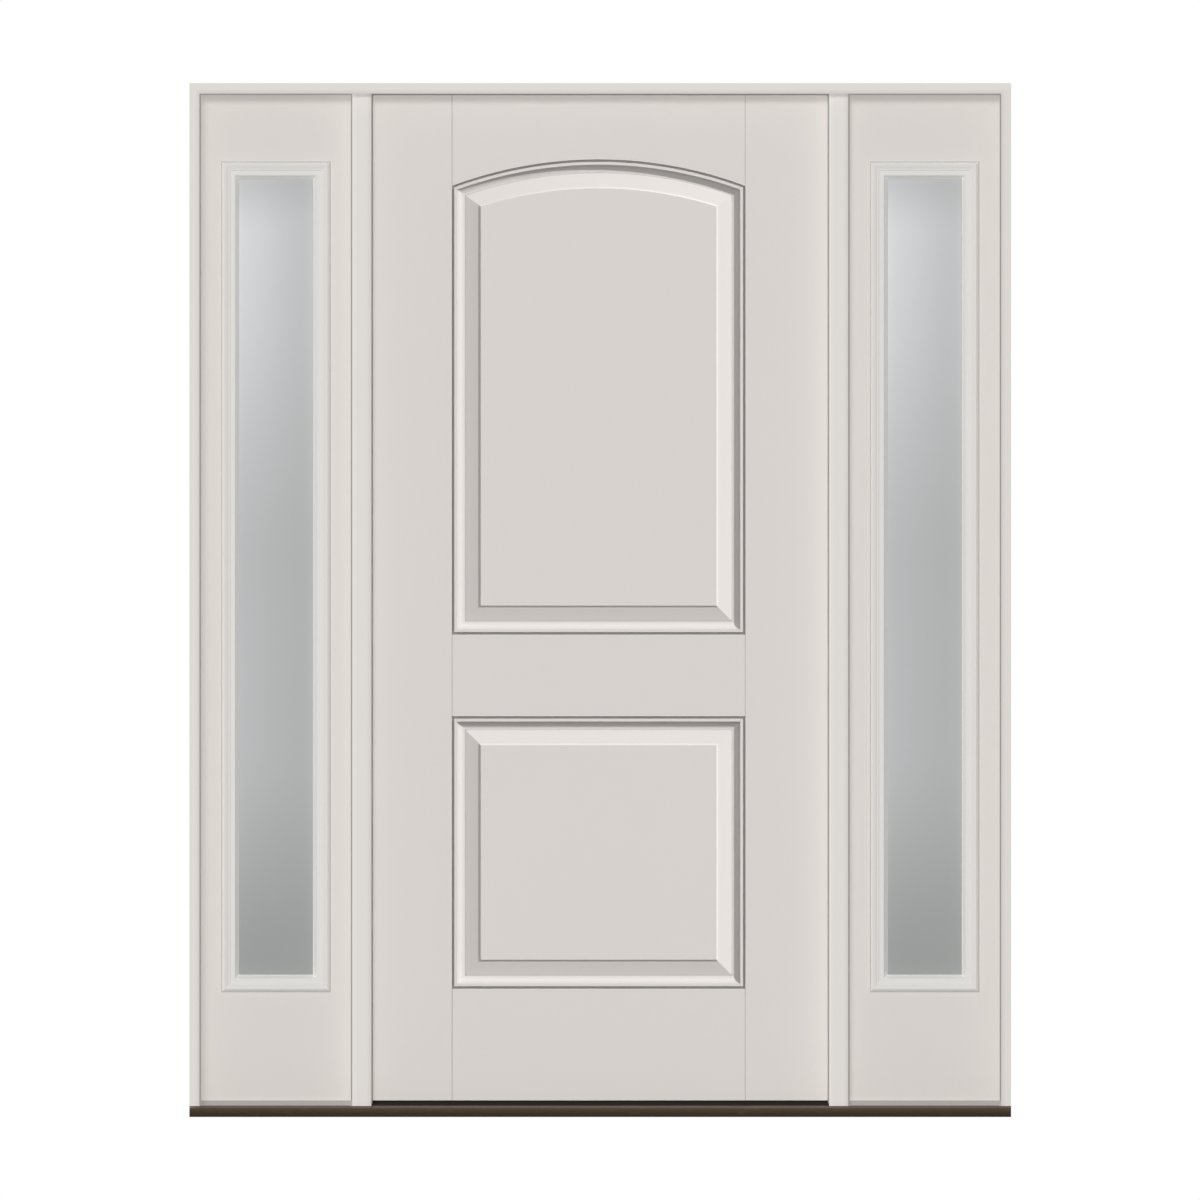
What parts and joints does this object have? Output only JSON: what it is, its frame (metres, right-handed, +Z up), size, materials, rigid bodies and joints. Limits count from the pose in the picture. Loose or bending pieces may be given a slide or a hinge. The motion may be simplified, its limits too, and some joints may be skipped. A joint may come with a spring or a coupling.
{
  "type": "entrance door with sidelights",
  "caption": "Inward-opening panelled entrance door with an arched upper panel, hung between fixed glazed sidelights in a timber frame on a bronze sill.",
  "frame": {"origin": "on the underside of the sill, in the middle of its length and of the frame's depth", "axes": "+X to the right seen from outside, +Y into the house, +Z up"},
  "size_m": [1.63, 0.157, 2.051],
  "materials": {
    "frame_paint": "satin off-white paint on timber",
    "leaf_paint": "satin off-white paint on timber",
    "sidelight_paint": "satin off-white paint on timber",
    "lite_moulding": "satin off-white moulding",
    "lite_glass": "grey obscure insulating glass",
    "spacer_metal": "mill aluminium",
    "bronze_sill": "bronze anodised, satin",
    "sill_composite": "dark wood-plastic composite",
    "threshold_composite": "near-black composite",
    "filler_grey": "grey extruded strip",
    "seal_foam": "grey foam with a smooth skin",
    "sweep_rubber": "black",
    "hinge_steel": "satin nickel plate"
  },
  "bodies": {
    "frame": {"bottom_hinge_frame_leaf": "hinge_steel", "bottom_hinge_pin": "hinge_steel", "head_jamb": "frame_paint", "head_weatherstrip": "seal_foam", "hinge_side_weatherstrip": "seal_foam", "left_glass_spacer": "spacer_metal", "left_inner_pane": "lite_glass", "left_inside_lite_frame": "lite_moulding", "left_jamb": "frame_paint", "left_mullion": "frame_paint", "left_outer_pane": "lite_glass", "left_outside_lite_frame": "lite_moulding", "left_sidelight_panel": "sidelight_paint", "left_sidelight_seal": "seal_foam", "left_sill_filler": "filler_grey", "lock_side_weatherstrip": "seal_foam", "middle_hinge_frame_leaf": "hinge_steel", "middle_hinge_pin": "hinge_steel", "right_glass_spacer": "spacer_metal", "right_inner_pane": "lite_glass", "right_inside_lite_frame": "lite_moulding", "right_jamb": "frame_paint", "right_mullion": "frame_paint", "right_outer_pane": "lite_glass", "right_outside_lite_frame": "lite_moulding", "right_sidelight_panel": "sidelight_paint", "right_sidelight_seal": "seal_foam", "right_sill_filler": "filler_grey", "sill_core": "sill_composite", "sill_deck": "bronze_sill", "threshold_cap": "threshold_composite", "top_hinge_frame_leaf": "hinge_steel", "top_hinge_pin": "hinge_steel"},
    "door_leaf": {"hinge_stile": "leaf_paint", "lock_stile": "leaf_paint", "top_rail": "leaf_paint", "lock_rail": "leaf_paint", "bottom_rail": "leaf_paint", "upper_panel": "leaf_paint", "lower_panel": "leaf_paint", "door_sweep": "sweep_rubber", "bottom_hinge_door_leaf": "hinge_steel", "middle_hinge_door_leaf": "hinge_steel", "top_hinge_door_leaf": "hinge_steel"}
  },
  "joints": [
    {"name": "door_swing", "type": "hinge", "parent": "frame", "child": "door_leaf", "pos_m": [-0.4615, 0.0655, 1.034], "axis": [0, 0, 1], "range_deg": [0, 120]}
  ]
}
